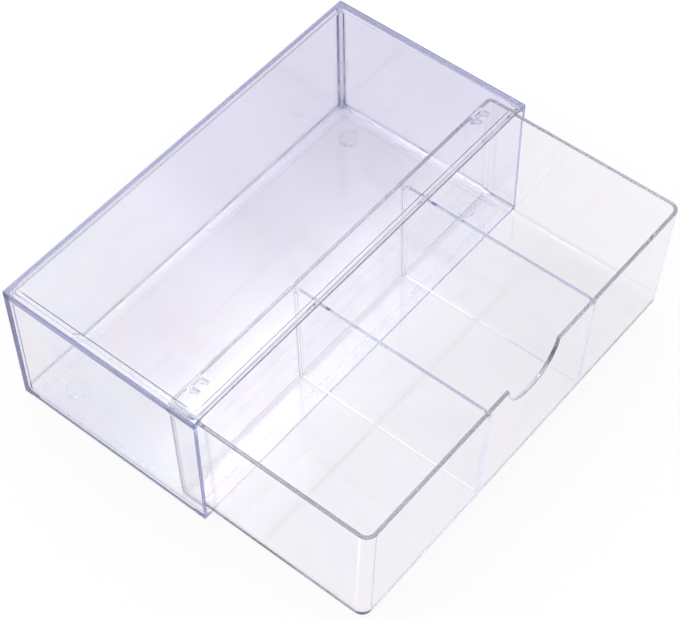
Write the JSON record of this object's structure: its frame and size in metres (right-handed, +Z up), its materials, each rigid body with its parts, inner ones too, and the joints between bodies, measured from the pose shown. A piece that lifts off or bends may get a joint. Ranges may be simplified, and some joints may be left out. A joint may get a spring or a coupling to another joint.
{
  "type": "stackable drawer box",
  "caption": "Clear stackable storage box: an open-fronted case with a raised stacking rim, and a full-width divided drawer with a finger scoop that slides out to stop tabs.",
  "frame": {"origin": "bottom centre of the bounding box at rest, with the drawer fully open as in the picture; the feet stand on z = 0", "axes": "+Z up, +X to the right seen from the drawer's front, -Y the way the drawer opens"},
  "size_m": [0.3, 0.2608, 0.0992],
  "materials": {
    "case_clear": "clear polished plastic with a faint lavender-blue tint",
    "drawer_clear": "clear polished plastic, neutral",
    "divider_clear": "clear polished plastic with a light blue edge tint",
    "foot_clear": "clear soft rubber, satin"
  },
  "bodies": {
    "case": {"case_shell": "case_clear", "foot_front_left": "foot_clear", "foot_front_right": "foot_clear", "foot_rear_left": "foot_clear", "foot_rear_right": "foot_clear"},
    "drawer": {"drawer_tray": "drawer_clear", "divider_left": "divider_clear", "divider_right": "divider_clear"}
  },
  "joints": [
    {"name": "drawer_slide", "type": "slide", "parent": "case", "child": "drawer", "axis": [0, -1, 0], "range_m": [-0.1163, 0]}
  ]
}
